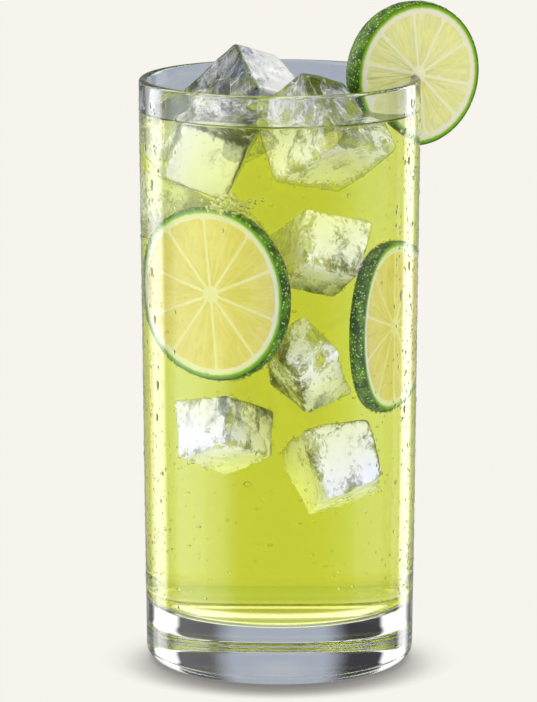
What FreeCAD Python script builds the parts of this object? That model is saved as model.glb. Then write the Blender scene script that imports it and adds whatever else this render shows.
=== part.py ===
"""Iced green tea in a tall, heavy-based tumbler with a lime wheel on its rim.

Units are millimetres, +Z is up, and the origin is the centre of the foot on the surface it stands on.
The front is -Y. One STEP file is written for each separate piece: the tumbler, the drink, the lime
wheel that straddles the rim, and the ice cubes that float through the surface of the drink.
"""

import FreeCAD
import Part

import math
import os

from FreeCAD import Placement, Rotation, Vector

# ---- tumbler ----
GLASS_HEIGHT = 162.0
RIM_DIAMETER = 77.0
HEEL_DIAMETER = 73.8
RIM_WALL = 2.2
FLOOR_WALL = 2.9
BASE_THICKNESS = 15.6
HEEL_RADIUS = 4.0
INNER_CORNER_RADIUS = 5.0
FOOT_RING_WIDTH = 5.0
PUNT_DEPTH = 1.6

# ---- drink ----
FREEBOARD = 9.2
MENISCUS_WIDTH = 1.6
MENISCUS_RISE = 0.8

# ---- floating ice: tray cubes with a draft, melted round at the edges, dimpled in the wider end ----
ICE_EDGE_RADIUS = 1.4
ICE_DIMPLE_DEPTH = 1.1
ICE_DIMPLE_SHARE = 0.36

# Each cube is set by its edges at the narrow end, its draft in degrees, the place of its centre and
# its turn (yaw, pitch, roll). Edges and places are shares of the room that the lime wheel leaves
# across the drink. Places are counted from the wall opposite the wheel, at the drink's level.
FLOATING_ICE = {
    "ice_peak": {"edges": (0.4281, 0.3058, 0.3841), "draft": 13.0, "place": (0.3822, 0.6598, 0.0134),
                 "turn": (147.4, 39.9, 201.0)},
    "ice_right": {"edges": (0.344, 0.3822, 0.4319), "draft": 6.0, "place": (0.772, 0.14, -0.0631),
                  "turn": (334.1, 144.0, 17.5)},
    "ice_left": {"edges": (0.3287, 0.3382, 0.3402), "draft": 6.0, "place": (0.2637, 0.205, -0.172),
                 "turn": (140.3, 65.1, 54.5)},
}

# ---- lime wheel on the rim ----
LIME_RADIUS = 19.6
LIME_THICKNESS = 7.0
LIME_BULGE = 0.6
LIME_TAPER = 0.5
ZEST_WIDTH = 1.2
PITH_WIDTH = 1.5
MEMBRANE_WIDTH = 0.9
CORE_RADIUS = 1.9
PULP_RECESS = 0.35
PULP_CORNER = 1.3
SEGMENT_COUNT = 9
SEGMENT_UNEVENNESS = 5.0
SLIT_CLEARANCE = 0.2
CORE_DROP = 0.1
LIME_RIM_ANGLE = 14.0
LIME_FACING_ANGLE = 31.0

PARTS_FOLDER = "parts"
AXIS_UP = Vector(0, 0, 1)
ORIGIN = Vector(0, 0, 0)


# ---- sizes worked out from the values above ----
def outer_radius(z):
    """Outside radius of the tumbler's wall at height z."""
    share = (z - HEEL_RADIUS) / (GLASS_HEIGHT - HEEL_RADIUS)
    return (HEEL_DIAMETER + (RIM_DIAMETER - HEEL_DIAMETER) * share) / 2


def wall_at(z):
    """Thickness of the tumbler's wall at height z, thinner towards the rim."""
    share = (z - BASE_THICKNESS) / (GLASS_HEIGHT - BASE_THICKNESS)
    return FLOOR_WALL + (RIM_WALL - FLOOR_WALL) * share


def inner_radius(z):
    """Inside radius of the tumbler's wall at height z."""
    return outer_radius(z) - wall_at(z)


def drink_level():
    """Height of the flat part of the drink's surface."""
    return GLASS_HEIGHT - FREEBOARD


def point(radius, z):
    """A point of a profile that is turned about Z."""
    return Vector(radius, 0, z)


def line(start, end):
    """A straight edge."""
    return Part.LineSegment(start, end).toShape()


def arc(start, middle, end):
    """A round edge through three points."""
    return Part.Arc(start, middle, end).toShape()


def corner_arc(centre, radius, first_deg, last_deg):
    """A round edge of a profile, by its centre and the angles where it begins and ends."""
    spots = []
    for angle in (first_deg, (first_deg + last_deg) / 2, last_deg):
        turn = math.radians(angle)
        spots.append(centre + Vector(radius * math.cos(turn), 0, radius * math.sin(turn)))
    return arc(*spots)


def turned(edges):
    """A solid of revolution about Z from the closed outline of half its section."""
    return Part.Face(Part.Wire(edges)).revolve(ORIGIN, AXIS_UP, 360)


# ---- tumbler ----
def make_tumbler():
    """A tall glass with a thick base, a shallow punt under it, a rounded heel and a fire-polished lip."""
    heel_radius = HEEL_DIAMETER / 2
    foot_outer = heel_radius - HEEL_RADIUS
    foot_inner = foot_outer - FOOT_RING_WIDTH
    lip = RIM_WALL / 2
    lip_height = GLASS_HEIGHT - lip
    rim_outer = outer_radius(lip_height)
    rim_inner = rim_outer - RIM_WALL
    corner_height = BASE_THICKNESS + INNER_CORNER_RADIUS
    corner_outer = inner_radius(corner_height)
    corner_start = corner_outer - INNER_CORNER_RADIUS

    punt_middle = point(foot_inner * 0.5, PUNT_DEPTH * 0.75)
    outline = [
        arc(point(0, PUNT_DEPTH), punt_middle, point(foot_inner, 0)),
        line(point(foot_inner, 0), point(foot_outer, 0)),
        corner_arc(point(foot_outer, HEEL_RADIUS), HEEL_RADIUS, -90, 0),
        line(point(heel_radius, HEEL_RADIUS), point(rim_outer, lip_height)),
        corner_arc(point(rim_outer - lip, lip_height), lip, 0, 180),
        line(point(rim_inner, lip_height), point(corner_outer, corner_height)),
        corner_arc(point(corner_start, corner_height), INNER_CORNER_RADIUS, 0, -90),
        line(point(corner_start, BASE_THICKNESS), point(0, BASE_THICKNESS)),
        line(point(0, BASE_THICKNESS), point(0, PUNT_DEPTH)),
    ]
    return turned(outline)


# ---- drink ----
def make_filling():
    """The drink alone: it fills the tumbler up to its level and climbs the wall in a meniscus."""
    level = drink_level()
    lip = RIM_WALL / 2
    lip_height = GLASS_HEIGHT - lip
    rim_inner = outer_radius(lip_height) - RIM_WALL
    corner_height = BASE_THICKNESS + INNER_CORNER_RADIUS
    corner_outer = inner_radius(corner_height)
    corner_start = corner_outer - INNER_CORNER_RADIUS

    def wall_radius(z):
        share = (z - corner_height) / (lip_height - corner_height)
        return corner_outer + (rim_inner - corner_outer) * share

    contact = wall_radius(level + MENISCUS_RISE)
    flat_edge = contact - MENISCUS_WIDTH
    curve = (MENISCUS_WIDTH**2 + MENISCUS_RISE**2) / (2 * MENISCUS_RISE)
    half_turn = math.asin(MENISCUS_WIDTH / curve) / 2
    middle = point(flat_edge + curve * math.sin(half_turn), level + curve * (1 - math.cos(half_turn)))
    outline = [
        line(point(0, BASE_THICKNESS), point(corner_start, BASE_THICKNESS)),
        corner_arc(point(corner_start, corner_height), INNER_CORNER_RADIUS, -90, 0),
        line(point(corner_outer, corner_height), point(contact, level + MENISCUS_RISE)),
        arc(point(contact, level + MENISCUS_RISE), middle, point(flat_edge, level)),
        line(point(flat_edge, level), point(0, level)),
        line(point(0, level), point(0, BASE_THICKNESS)),
    ]
    return turned(outline)


# ---- ice ----
def make_ice_cube(width, depth, height, draft_deg):
    """A tray cube about the origin: drafted, round-edged, with a dimple in its wider end."""
    spread = height * math.tan(math.radians(draft_deg))
    outlines = []
    for level, extra in ((-height / 2, 0.0), (height / 2, spread)):
        half_x = width / 2 + extra
        half_y = depth / 2 + extra
        corners = [Vector(x * half_x, y * half_y, level) for x, y in ((-1, -1), (1, -1), (1, 1), (-1, 1))]
        outlines.append(Part.makePolygon(corners + corners[:1]))
    block = Part.makeLoft(outlines, True, True)
    block = block.makeFillet(ICE_EDGE_RADIUS, block.Edges)
    reach = (min(width, depth) + spread) * ICE_DIMPLE_SHARE
    ball = (reach**2 + ICE_DIMPLE_DEPTH**2) / (2 * ICE_DIMPLE_DEPTH)
    dimple = Part.makeSphere(ball, Vector(0, 0, height / 2 - ICE_DIMPLE_DEPTH + ball))
    return block.cut(dimple)


def ice_room():
    """The width that the lime wheel leaves for ice across the drink, up to the opposite wall."""
    inner_edge = lime_centre() - wheel_direction() * LIME_RADIUS
    return inner_radius(drink_level()) + inner_edge.dot(wheel_direction())


def ice_start():
    """The point of the wall opposite the lime wheel, at the drink's level."""
    return wheel_direction() * -inner_radius(drink_level()) + AXIS_UP * drink_level()


def make_floating_ice():
    """Every cube that breaks the surface, in its place, by the name of its node."""
    room = ice_room()
    cubes = {}
    for name, spec in FLOATING_ICE.items():
        edges = [share * room for share in spec["edges"]]
        cube = make_ice_cube(*edges, spec["draft"])
        place = ice_start() + Vector(*spec["place"]) * room
        cube.Placement = Placement(place, Rotation(*spec["turn"]))
        cubes[name] = cube
    return cubes


# ---- lime wheel ----
def segment_angles():
    """The directions of the membranes, in degrees, as uneven as a real fruit's."""
    step = 360.0 / SEGMENT_COUNT
    return [step * i + SEGMENT_UNEVENNESS * math.sin(2.4 * i) for i in range(SEGMENT_COUNT)]


def make_pulp_outline(first_deg, last_deg, radius):
    """The round-cornered outline of one segment's pulp, in the plane of the wheel."""
    inset = MEMBRANE_WIDTH / 2 + PULP_CORNER
    first = math.radians(first_deg)
    last = math.radians(last_deg)
    middle = (first + last) / 2
    reach = radius - PULP_CORNER
    side_turn = math.asin(inset / reach)
    apex = max(inset / math.sin((last - first) / 2), CORE_RADIUS + PULP_CORNER)

    def spot(distance, turn):
        return Vector(distance * math.cos(turn), distance * math.sin(turn), 0)

    tip = spot(apex, middle)
    near = spot(reach, first + side_turn)
    far = spot(reach, last - side_turn)
    edges = [line(tip, near), arc(near, spot(reach, middle), far), line(far, tip)]
    return Part.Face(Part.Wire(edges)).makeOffset2D(PULP_CORNER, 0, False, False, False)


def make_lime_disc():
    """The wheel about the origin with its axis along Z: a slice with a bulging rind."""
    half = LIME_THICKNESS / 2
    back_radius = LIME_RADIUS - LIME_TAPER
    widest = LIME_RADIUS + LIME_BULGE - LIME_TAPER / 2
    outline = [
        line(point(0, -half), point(back_radius, -half)),
        arc(point(back_radius, -half), point(widest, 0), point(LIME_RADIUS, half)),
        line(point(LIME_RADIUS, half), point(0, half)),
        line(point(0, half), point(0, -half)),
    ]
    return turned(outline)


def make_pulp_pockets():
    """The shallow hollows of the pulp between the membranes, for both cut faces."""
    half = LIME_THICKNESS / 2
    radius = LIME_RADIUS - LIME_TAPER - ZEST_WIDTH - PITH_WIDTH
    angles = segment_angles()
    pockets = []
    for i, first in enumerate(angles):
        last = angles[(i + 1) % len(angles)] + (360.0 if i + 1 == len(angles) else 0.0)
        outline = make_pulp_outline(first, last, radius)
        for bottom in (half - PULP_RECESS, -half - PULP_RECESS):
            pocket = outline.extrude(Vector(0, 0, 2 * PULP_RECESS))
            pocket.translate(Vector(0, 0, bottom))
            pockets.append(pocket)
    return pockets


def wheel_direction():
    """The level direction in the wheel's own plane, from inside the tumbler to outside it."""
    facing = math.radians(LIME_FACING_ANGLE)
    return Vector(math.cos(facing), math.sin(facing), 0)


def lime_centre():
    """The middle of the wheel: just under the top of the rim, in the middle of the wall."""
    rim_middle = RIM_DIAMETER / 2 - RIM_WALL / 2
    turn = math.radians(LIME_RIM_ANGLE)
    return Vector(rim_middle * math.cos(turn), rim_middle * math.sin(turn), GLASS_HEIGHT - CORE_DROP)


def lime_placement():
    """Stands the wheel on edge with its middle on the rim, one face turned to the front and right."""
    stand = Rotation(Vector(1, 0, 0), 90)
    face = Rotation(AXIS_UP, LIME_FACING_ANGLE)
    return Placement(lime_centre(), face.multiply(stand))


def make_slit():
    """The slot that takes the wall: a clearance on each side, and its round end rests on the rim."""
    lip = RIM_WALL / 2
    reach = lip + SLIT_CLEARANCE
    lip_height = GLASS_HEIGHT - reach
    middle = outer_radius(lip_height) - lip
    bottom = GLASS_HEIGHT - 2 * LIME_RADIUS
    outer_bottom = outer_radius(bottom) + SLIT_CLEARANCE
    inner_bottom = inner_radius(bottom) - SLIT_CLEARANCE
    outline = [
        line(point(inner_bottom, bottom), point(outer_bottom, bottom)),
        line(point(outer_bottom, bottom), point(middle + reach, lip_height)),
        corner_arc(point(middle, lip_height), reach, 0, 180),
        line(point(middle - reach, lip_height), point(inner_bottom, bottom)),
    ]
    return turned(outline)


def make_lime():
    """The whole wheel without its slit, and the same wheel slit to sit on the rim."""
    disc = make_lime_disc().cut(make_pulp_pockets())
    disc.Placement = lime_placement()
    return disc, disc.cut(make_slit())


# ---- whole ----
def make_pieces():
    """Every piece by the name of its node."""
    whole_lime, slit_lime = make_lime()
    pieces = {"tumbler": make_tumbler(), "lime_wheel": slit_lime}
    pieces.update(make_floating_ice())
    sunk = [whole_lime] + [pieces[name] for name in FLOATING_ICE]
    pieces["drink"] = make_filling().cut(sunk)
    return pieces


def main():
    """Builds the pieces and writes them."""
    os.makedirs(PARTS_FOLDER, exist_ok=True)
    for name, shape in sorted(make_pieces().items()):
        if not shape.isValid():
            raise ValueError(name + " is not a valid solid")
        print(name, "solids", len(shape.Solids), "volume in cm3", round(shape.Volume / 1000, 2))
        shape.exportStep(os.path.join(PARTS_FOLDER, name + ".step"))


main()
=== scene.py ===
"""Dresses the packed iced green tea: glass, tea, ice, lime wheels, drops and bubbles.

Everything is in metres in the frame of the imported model: +Z is up, the front is -Y and the
origin is the centre of the tumbler's foot. Lengths named with a suffix of _mm are millimetres.
"""

from __future__ import annotations

import logging
import math
import random
from collections.abc import Iterable, Iterator
from dataclasses import dataclass, field
from enum import Enum

import bmesh
import bpy
import numpy as np
from mathutils import Matrix, Vector, noise


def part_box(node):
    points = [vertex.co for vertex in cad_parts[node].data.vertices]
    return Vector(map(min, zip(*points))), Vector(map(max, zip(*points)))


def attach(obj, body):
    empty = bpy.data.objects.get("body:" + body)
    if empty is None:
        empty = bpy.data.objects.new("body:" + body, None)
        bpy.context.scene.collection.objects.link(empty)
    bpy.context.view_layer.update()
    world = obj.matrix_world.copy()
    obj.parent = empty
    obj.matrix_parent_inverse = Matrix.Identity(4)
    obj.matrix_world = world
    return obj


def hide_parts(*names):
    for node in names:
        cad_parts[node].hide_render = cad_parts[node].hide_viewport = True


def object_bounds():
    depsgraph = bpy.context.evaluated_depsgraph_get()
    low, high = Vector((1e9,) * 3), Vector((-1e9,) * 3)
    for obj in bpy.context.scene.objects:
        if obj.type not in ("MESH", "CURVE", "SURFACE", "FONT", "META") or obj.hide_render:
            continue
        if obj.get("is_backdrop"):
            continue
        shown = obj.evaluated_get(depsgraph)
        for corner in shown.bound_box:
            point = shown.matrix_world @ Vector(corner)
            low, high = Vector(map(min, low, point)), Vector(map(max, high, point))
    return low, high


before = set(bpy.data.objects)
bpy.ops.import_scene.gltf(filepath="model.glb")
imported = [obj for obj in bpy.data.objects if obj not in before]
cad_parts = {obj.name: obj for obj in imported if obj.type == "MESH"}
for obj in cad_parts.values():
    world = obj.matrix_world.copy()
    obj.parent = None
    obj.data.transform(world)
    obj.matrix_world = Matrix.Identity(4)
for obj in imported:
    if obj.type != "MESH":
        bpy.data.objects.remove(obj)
CAD_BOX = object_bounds()

MM = 0.001
BODY = "root"
LOG = logging.getLogger("iced_tea")

Profile = list[tuple[float, float]]
Faces = list[tuple[int, ...]]
Triple = tuple[float, float, float]
Colour = tuple[float, float, float]
Socket = bpy.types.NodeSocket


class Slot(Enum):
    """Material slots of the record, passed with each piece but not read."""

    GLASS = "glass"
    DRINK = "drink"
    ICE = "ice"
    LIME = "lime"


# ---------------------------------------------------------------- mesh making


def mesh_object(name: str, points: np.ndarray, faces: Faces) -> bpy.types.Object:
    """Makes a smooth-shaded mesh object and links it to the scene.

    Args:
        name: Name of the piece.
        points: Vertex places in metres, one row each.
        faces: Vertex numbers of each face.

    Returns:
        The new object.
    """
    mesh = bpy.data.meshes.new(name)
    mesh.from_pydata([tuple(map(float, p)) for p in points], [], faces)
    mesh.validate()
    mesh.polygons.foreach_set("use_smooth", [True] * len(mesh.polygons))
    mesh.update()
    piece = bpy.data.objects.new(name, mesh)
    bpy.context.scene.collection.objects.link(piece)
    return piece


def gathered(name: str, skins: Iterable[tuple[np.ndarray, Faces]]) -> bpy.types.Object:
    """Makes one object of many separate skins.

    Args:
        name: Name of the piece.
        skins: Vertex places in millimetres and the faces of each skin.

    Returns:
        The new object.
    """
    points: list[np.ndarray] = []
    faces: Faces = []
    count = 0
    for spots, corners in skins:
        points.append(spots)
        faces += [tuple(count + i for i in face) for face in corners]
        count += len(spots)
    return mesh_object(name, np.concatenate(points) * MM, faces)


def taken(grid: bmesh.types.BMesh) -> tuple[np.ndarray, Faces]:
    """Reads a mesh under construction and frees it.

    Args:
        grid: The mesh.

    Returns:
        Its vertex places and its faces.
    """
    grid.verts.ensure_lookup_table()
    spots = np.array([v.co[:] for v in grid.verts])
    faces = [tuple(v.index for v in f.verts) for f in grid.faces]
    grid.free()
    return spots, faces


def turned(profile: Profile, steps: int) -> tuple[np.ndarray, Faces]:
    """Turns an outline about Z into a closed skin.

    Args:
        profile: Radius and height of each point in millimetres, from the axis round to the axis,
            or round a loop clear of the axis whose last point repeats its first.
        steps: Number of steps round the axis.

    Returns:
        Vertex places in metres and the faces, facing outwards for an outline that runs
        from the bottom of the axis out and up to its top.
    """
    loop = profile[0] == profile[-1] and profile[0][0] > 1e-6
    profile = profile[:-1] if loop else profile
    angles = np.linspace(0.0, 2.0 * math.pi, steps, endpoint=False)
    cosines, sines = np.cos(angles), np.sin(angles)
    points: list[np.ndarray] = []
    starts: list[int] = []
    poles: list[bool] = []
    count = 0
    for radius, height in profile:
        starts.append(count)
        on_axis = radius < 1e-6
        poles.append(on_axis)
        if on_axis:
            points.append(np.array([[0.0, 0.0, height]]))
            count += 1
        else:
            ring = np.stack([radius * cosines, radius * sines, np.full(steps, height)], 1)
            points.append(ring)
            count += steps
    faces: Faces = []
    for i in range(len(profile) if loop else len(profile) - 1):
        low, high = starts[i], starts[(i + 1) % len(profile)]
        for j in range(steps):
            k = (j + 1) % steps
            if poles[i]:
                faces.append((low, high + k, high + j))
            elif poles[(i + 1) % len(profile)]:
                faces.append((low + j, low + k, high))
            else:
                faces.append((low + j, low + k, high + k, high + j))
    return np.concatenate(points) * MM, faces


def arc(centre: tuple[float, float], radius: float, first: float, last: float, steps: int) -> Profile:
    """Points of a round stretch of an outline.

    Args:
        centre: Radius and height of its centre in millimetres.
        radius: Its radius in millimetres.
        first: Angle of its first point in degrees, from the outward direction.
        last: Angle of its last point in degrees.
        steps: Number of steps along it.

    Returns:
        Its points, first and last included.
    """
    spots = []
    for i in range(steps + 1):
        angle = math.radians(first + (last - first) * i / steps)
        spots.append((centre[0] + radius * math.cos(angle), centre[1] + radius * math.sin(angle)))
    return spots


def run(start: tuple[float, float], end: tuple[float, float], steps: int) -> Profile:
    """Points of a straight stretch of an outline, without its two ends.

    Args:
        start: Its first end in millimetres.
        end: Its last end in millimetres.
        steps: Number of steps along it.

    Returns:
        The points between the ends.
    """
    return [
        (start[0] + (end[0] - start[0]) * i / steps, start[1] + (end[1] - start[1]) * i / steps)
        for i in range(1, steps)
    ]


def cut_out(piece: bpy.types.Object, cutters: Iterable[bpy.types.Object]) -> None:
    """Cuts closed skins out of a piece and removes them.

    Args:
        piece: The piece that is cut.
        cutters: The closed skins, each clear of the others.
    """
    for cutter in cutters:
        step = piece.modifiers.new("cut", "BOOLEAN")
        step.operation = "DIFFERENCE"
        step.solver = "MANIFOLD"
        step.object = cutter
        bpy.context.view_layer.update()
        graph = bpy.context.evaluated_depsgraph_get()
        fresh = bpy.data.meshes.new_from_object(piece.evaluated_get(graph))
        piece.modifiers.clear()
        old = piece.data
        piece.data = fresh
        bpy.data.meshes.remove(old)
        bpy.data.objects.remove(cutter)
    piece.data.name = piece.name


def sharpen(piece: bpy.types.Object, angle_deg: float) -> None:
    """Shades a piece smooth except across edges sharper than an angle.

    Args:
        piece: The piece.
        angle_deg: The angle in degrees.
    """
    mesh = piece.data
    mesh.polygons.foreach_set("use_smooth", [True] * len(mesh.polygons))
    mesh.set_sharp_from_angle(angle=math.radians(angle_deg))


def joined(name: str, pieces: list[bpy.types.Object]) -> bpy.types.Object:
    """Joins mesh objects into one.

    Args:
        name: Name of the joined piece.
        pieces: The objects, which are used up.

    Returns:
        The joined object.
    """
    with bpy.context.temp_override(active_object=pieces[0], selected_editable_objects=pieces):
        bpy.ops.object.join()
    whole = pieces[0]
    whole.name = name
    whole.data.name = name
    return whole


def note_points(piece: bpy.types.Object, name: str, values: np.ndarray) -> None:
    """Writes a number or a vector on every vertex of a piece, for its finish to read.

    Args:
        piece: The piece.
        name: Name of the attribute.
        values: One number or one row of three for each vertex.
    """
    kind, key = ("FLOAT", "value") if values.ndim == 1 else ("FLOAT_VECTOR", "vector")
    mesh = piece.data
    old = mesh.attributes.get(name)
    if old is not None:
        mesh.attributes.remove(old)
    mesh.attributes.new(name, kind, "POINT").data.foreach_set(key, values.astype(np.float32).ravel())


def places(piece: bpy.types.Object) -> np.ndarray:
    """Reads the vertex places of a piece.

    Args:
        piece: The piece.

    Returns:
        Its places in millimetres, one row each.
    """
    flat = np.empty(len(piece.data.vertices) * 3)
    piece.data.vertices.foreach_get("co", flat)
    return flat.reshape(-1, 3) / MM


def fit_out(piece: bpy.types.Object, material: bpy.types.Material, slot: Slot) -> bpy.types.Object:
    """Gives a piece its finish and lets it ride on the body.

    Args:
        piece: The piece.
        material: Its finish.
        slot: Not used.

    Returns:
        The piece.
    """
    piece.data.materials.clear()
    piece.data.materials.append(material)
    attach(piece, BODY)
    return piece


# ---------------------------------------------------------------- finishes


class Nodes:
    """A node tree under construction, with short ways to add and link nodes."""

    def __init__(self, tree: bpy.types.NodeTree) -> None:
        """Starts from an empty tree."""
        self.tree = tree
        self.tree.nodes.clear()

    def add(self, kind: str, **values: object) -> bpy.types.Node:
        """Adds a node and sets its properties and sockets.

        Args:
            kind: The node's type.
            values: Properties by name, or socket values by name with spaces as underscores.

        Returns:
            The node.
        """
        node = self.tree.nodes.new(kind)
        for key, value in values.items():
            if hasattr(node, key):
                setattr(node, key, value)
            else:
                node.inputs[key.replace("_", " ")].default_value = value
        return node

    def link(self, source: Socket, target: Socket) -> None:
        """Links two sockets."""
        self.tree.links.new(source, target)

    def feed(self, value: object, target: Socket) -> None:
        """Links or sets a socket.

        Args:
            value: A socket to link, a colour or a number.
            target: The socket that takes it.
        """
        if isinstance(value, bpy.types.NodeSocket):
            self.link(value, target)
        elif isinstance(value, tuple):
            target.default_value = (*value[:3], 1.0)
        else:
            target.default_value = float(value)

    def ramp(self, factor: Socket, stops: list[tuple[float, Colour]]) -> Socket:
        """Adds a colour ramp.

        Args:
            factor: What drives it.
            stops: Place and colour of each stop.

        Returns:
            Its colour socket.
        """
        node = self.add("ShaderNodeValToRGB")
        elements = node.color_ramp.elements
        while len(elements) > 1:
            elements.remove(elements[-1])
        for i, (place, colour) in enumerate(stops):
            stop = elements[0] if i == 0 else elements.new(place)
            stop.position = place
            stop.color = (*colour, 1.0)
        self.link(factor, node.inputs["Fac"])
        return node.outputs["Color"]

    def object_place(self) -> Socket:
        """Adds a reader of the place on the object, in metres."""
        return self.add("ShaderNodeTexCoord").outputs["Object"]

    def noted(self, name: str, output: str = "Fac") -> Socket:
        """Adds a reader of the numbers or vectors written on the vertices."""
        return self.add("ShaderNodeAttribute", attribute_name=name).outputs[output]

    def noise(self, place: Socket, size: float, detail: float = 2.0, output: str = "Fac") -> Socket:
        """Adds noise.

        Args:
            place: Where it is read.
            size: Size of its swells, in the unit of the place.
            detail: How many finer layers it has.
            output: Its value or its colour.

        Returns:
            That output.
        """
        node = self.add("ShaderNodeTexNoise", Scale=1.0 / size, Detail=detail)
        self.link(place, node.inputs["Vector"])
        return node.outputs[output]

    def cells(self, place: Socket, size: float, feature: str = "F1") -> bpy.types.Node:
        """Adds a pattern of uneven cells, or of the distance to their edges.

        Args:
            place: Where it is read.
            size: Size of its cells, in the unit of the place.
            feature: What of the cells is read.

        Returns:
            The node.
        """
        node = self.add("ShaderNodeTexVoronoi", feature=feature, Scale=1.0 / size)
        self.link(place, node.inputs["Vector"])
        return node

    def chances(self, cells: bpy.types.Node) -> bpy.types.Node:
        """Adds a reader of the random numbers that each cell has.

        Args:
            cells: The pattern of cells.

        Returns:
            The node, whose three outputs are the numbers.
        """
        node = self.add("ShaderNodeSeparateColor")
        self.link(cells.outputs["Color"], node.inputs[0])
        return node

    def reach(self, value: Socket, low: float, high: float) -> Socket:
        """Maps a stretch smoothly to 0 to 1.

        Args:
            value: What is mapped.
            low: Where it gives 0.
            high: Where it gives 1, above or below.

        Returns:
            The mapped value.
        """
        node = self.add("ShaderNodeMapRange", interpolation_type="SMOOTHSTEP", From_Min=low, From_Max=high)
        self.link(value, node.inputs["Value"])
        return node.outputs[0]

    def maths(self, kind: str, *inputs: object) -> Socket:
        """Adds a maths node.

        Args:
            kind: The operation.
            inputs: Sockets or numbers.

        Returns:
            Its value socket.
        """
        node = self.add("ShaderNodeMath", operation=kind)
        for i, value in enumerate(inputs):
            self.feed(value, node.inputs[i])
        return node.outputs[0]

    def total(self, first: Socket, *others: object) -> Socket:
        """Adds values up.

        Args:
            first: The first socket.
            others: Sockets or numbers.

        Returns:
            The sum.
        """
        for other in others:
            first = self.maths("ADD", first, other)
        return first

    def about(self, value: Socket, amount: float) -> Socket:
        """Spreads a value about zero by an amount."""
        return self.maths("MULTIPLY", self.maths("SUBTRACT", value, 0.5), amount)

    def mix(self, factor: object, first: object, second: object, blend: str = "MIX") -> Socket:
        """Adds a colour mix.

        Args:
            factor: Socket or number.
            first: Socket or colour.
            second: Socket or colour.
            blend: The way of mixing.

        Returns:
            Its colour socket.
        """
        node = self.add("ShaderNodeMix", data_type="RGBA", blend_type=blend)
        for value, place in ((factor, 0), (first, 6), (second, 7)):
            self.feed(value, node.inputs[place])
        return node.outputs[2]


class Finish(Nodes):
    """A material under construction."""

    def __init__(self, name: str) -> None:
        """Starts an empty node material.

        Args:
            name: Name of the material.
        """
        self.material = bpy.data.materials.new(name)
        self.material.use_nodes = True
        super().__init__(self.material.node_tree)
        self.output = self.add("ShaderNodeOutputMaterial")

    def surface(self, shader: bpy.types.Node, height: Socket | None = None, height_mm: float = 0.0) -> None:
        """Gives the material its surface.

        Args:
            shader: The shader.
            height: What drives its fine relief, if it has one.
            height_mm: How high the relief is for a drive of one.
        """
        if height is not None:
            bump = self.add("ShaderNodeBump", Strength=1.0, Distance=height_mm * MM)
            self.link(height, bump.inputs["Height"])
            self.link(bump.outputs["Normal"], shader.inputs["Normal"])
        self.link(shader.outputs[0], self.output.inputs["Surface"])


@dataclass(frozen=True)
class ClearFinish:
    """A clear solid such as glass, tea or water, with a fine unevenness of its surface."""

    name: str
    index: float
    wave_size_mm: float = 0.0
    wave_height_mm: float = 0.0
    soaks: Colour | None = None
    depth_per_m: float = 0.0

    def material(self) -> bpy.types.Material:
        """Builds the finish as a node material.

        Returns:
            The material.
        """
        made = Finish(self.name)
        shader = made.add(
            "ShaderNodeBsdfPrincipled",
            Base_Color=(1.0, 1.0, 1.0, 1.0),
            Roughness=0.0,
            IOR=self.index,
            Transmission_Weight=1.0,
        )
        wave = made.noise(made.object_place(), self.wave_size_mm * MM) if self.wave_height_mm > 0.0 else None
        made.surface(shader, wave, self.wave_height_mm)
        if self.soaks is not None:
            body = made.add("ShaderNodeVolumeAbsorption", Color=(*self.soaks, 1.0), Density=self.depth_per_m)
            made.link(body.outputs[0], made.output.inputs["Volume"])
        return made.material


GLASS = ClearFinish("clear_glass", 1.5, wave_size_mm=14.0, wave_height_mm=0.012)
TEA = ClearFinish(
    "green_tea", 1.333, wave_size_mm=7.0, wave_height_mm=0.015, soaks=(0.890, 0.908, 0.33), depth_per_m=62.0
)
WATER = ClearFinish("water_drop", 1.333)
AIR_IN_TEA = ClearFinish("air_bubble", 1.0 / 1.333)


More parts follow.
